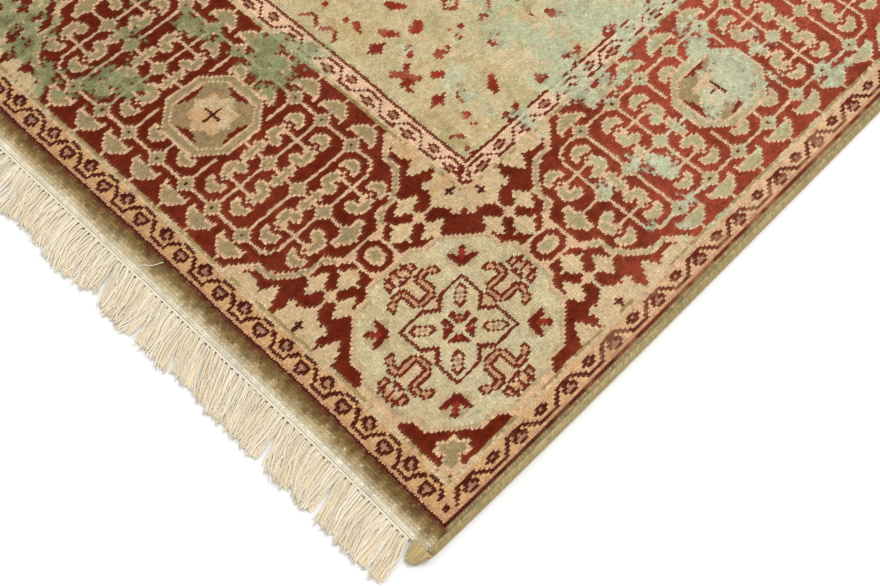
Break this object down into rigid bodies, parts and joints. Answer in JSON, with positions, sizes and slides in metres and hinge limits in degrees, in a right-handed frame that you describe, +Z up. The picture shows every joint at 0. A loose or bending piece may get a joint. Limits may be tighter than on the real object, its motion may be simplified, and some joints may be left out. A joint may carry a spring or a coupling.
{
  "type": "modern rug",
  "caption": "Flat hand-knotted wool rug with a cartouche and medallion border, an erased pale field, overcast sides and cotton fringes.",
  "frame": {"origin": "on the floor, under the middle of the whole rug's box, fringes included", "axes": "+X across the rug, +Y along it from the near fringe to the far fringe, +Z up out of the pile"},
  "size_m": [1.5, 2.5516, 0.009],
  "materials": {
    "pile_wool": "cut wool pile, washed and napped",
    "selvage_wool": "wrapped wool yarn",
    "fringe_cotton": "undyed twisted cotton yarn"
  },
  "bodies": {
    "root": {"pile": "pile_wool", "selvage_left": "selvage_wool", "selvage_right": "selvage_wool", "selvage_tail": "selvage_wool", "fringe_near": "fringe_cotton", "fringe_far": "fringe_cotton"}
  },
  "joints": []
}
